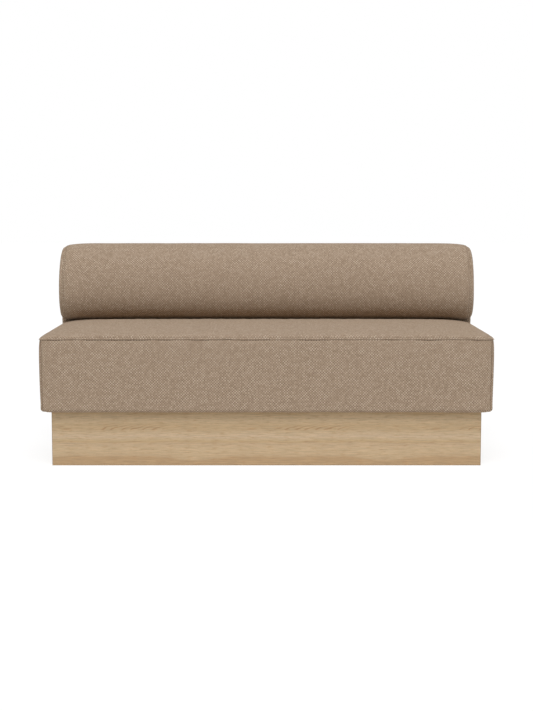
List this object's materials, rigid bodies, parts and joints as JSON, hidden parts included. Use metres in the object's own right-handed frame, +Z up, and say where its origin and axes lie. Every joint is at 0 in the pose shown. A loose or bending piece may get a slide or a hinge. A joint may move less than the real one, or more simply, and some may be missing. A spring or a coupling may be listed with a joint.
{
  "type": "dining sofa",
  "caption": "Armless upholstered dining sofa: a padded seat block and a roll-shaped back on a slim stem, on a recessed oak-veneered plinth.",
  "frame": {"origin": "on the floor, under the middle of the sofa's width and depth", "axes": "+X to the right along the sofa seen from the front, +Y from front to rear, +Z up"},
  "size_m": [1.6498, 0.6699, 0.798],
  "materials": {
    "oak_veneer": "satin",
    "pine": "matte",
    "plywood": "matte",
    "upholstery_weave": "matte",
    "foam": "matte",
    "wadding": "matte",
    "webbing": "matte",
    "lining": "matte",
    "zinc_steel": "satin",
    "foot_plastic": "matte"
  },
  "bodies": {
    "sofa": {"plinth_front_panel": "oak_veneer", "plinth_rear_panel": "oak_veneer", "plinth_left_panel": "oak_veneer", "plinth_right_panel": "oak_veneer", "plinth_left_batten": "pine", "plinth_right_batten": "pine", "plinth_centre_rail": "pine", "plinth_corner_blocks": "pine", "plinth_block_screws": "zinc_steel", "foot_inserts": "zinc_steel", "seat_front_rail": "pine", "seat_rear_rail": "pine", "seat_left_rail": "pine", "seat_right_rail": "pine", "seat_cross_rails": "pine", "seat_corner_blocks": "pine", "seat_webbing_across": "webbing", "seat_webbing_along": "webbing", "seat_bolts": "zinc_steel", "seat_bolt_sleeves": "zinc_steel", "seat_foam_core": "foam", "seat_topper": "wadding", "seat_edge_foam_front": "foam", "seat_edge_foam_left": "foam", "seat_edge_foam_right": "foam", "seat_cover_top": "upholstery_weave", "seat_cover_front": "upholstery_weave", "seat_cover_left": "upholstery_weave", "seat_cover_right": "upholstery_weave", "seat_cover_rear": "upholstery_weave", "seat_dust_cover": "lining", "back_left_upright": "pine", "back_right_upright": "pine", "back_centre_upright": "pine", "back_top_rail": "pine", "back_middle_rails": "pine", "back_bottom_rail": "pine", "back_front_board": "plywood", "back_rear_board": "plywood", "back_mounting_batten": "plywood", "back_bolts": "zinc_steel", "back_bolt_sleeves": "zinc_steel", "back_bolster_foam": "foam", "back_lower_foam": "foam", "back_rear_wadding": "wadding", "back_end_pad_left": "foam", "back_end_pad_right": "foam", "back_cover_front": "upholstery_weave", "back_cover_left": "upholstery_weave", "back_cover_right": "upholstery_weave", "back_cover_rear": "upholstery_weave", "back_bottom_cover": "lining"},
    "pad_front_left": {"foot_pad_front_left": "foot_plastic"},
    "stud_front_left": {"foot_stud_front_left": "zinc_steel"},
    "pad_front_right": {"foot_pad_front_right": "foot_plastic"},
    "stud_front_right": {"foot_stud_front_right": "zinc_steel"},
    "pad_rear_left": {"foot_pad_rear_left": "foot_plastic"},
    "stud_rear_left": {"foot_stud_rear_left": "zinc_steel"},
    "pad_rear_right": {"foot_pad_rear_right": "foot_plastic"},
    "stud_rear_right": {"foot_stud_rear_right": "zinc_steel"}
  },
  "joints": [
    {"name": "foot_front_left_height", "type": "slide", "parent": "sofa", "child": "pad_front_left", "axis": [0, 0, -1], "range_m": [0, 0.012]},
    {"name": "foot_front_left_turn", "type": "hinge", "parent": "pad_front_left", "child": "stud_front_left", "pos_m": [-0.7375, -0.2475, 0.0055], "axis": [0, 0, -1], "range_deg": [0, 2880]},
    {"name": "foot_front_right_height", "type": "slide", "parent": "sofa", "child": "pad_front_right", "axis": [0, 0, -1], "range_m": [0, 0.012]},
    {"name": "foot_front_right_turn", "type": "hinge", "parent": "pad_front_right", "child": "stud_front_right", "pos_m": [0.7375, -0.2475, 0.0055], "axis": [0, 0, -1], "range_deg": [0, 2880]},
    {"name": "foot_rear_left_height", "type": "slide", "parent": "sofa", "child": "pad_rear_left", "axis": [0, 0, -1], "range_m": [0, 0.012]},
    {"name": "foot_rear_left_turn", "type": "hinge", "parent": "pad_rear_left", "child": "stud_rear_left", "pos_m": [-0.7375, 0.247, 0.0055], "axis": [0, 0, -1], "range_deg": [0, 2880]},
    {"name": "foot_rear_right_height", "type": "slide", "parent": "sofa", "child": "pad_rear_right", "axis": [0, 0, -1], "range_m": [0, 0.012]},
    {"name": "foot_rear_right_turn", "type": "hinge", "parent": "pad_rear_right", "child": "stud_rear_right", "pos_m": [0.7375, 0.247, 0.0055], "axis": [0, 0, -1], "range_deg": [0, 2880]}
  ],
  "couplings": [
    {"joint": "foot_front_left_turn", "follows": "foot_front_left_height", "rad_per_m": 4188.8},
    {"joint": "foot_front_right_turn", "follows": "foot_front_right_height", "rad_per_m": 4188.8},
    {"joint": "foot_rear_left_turn", "follows": "foot_rear_left_height", "rad_per_m": 4188.8},
    {"joint": "foot_rear_right_turn", "follows": "foot_rear_right_height", "rad_per_m": 4188.8}
  ]
}
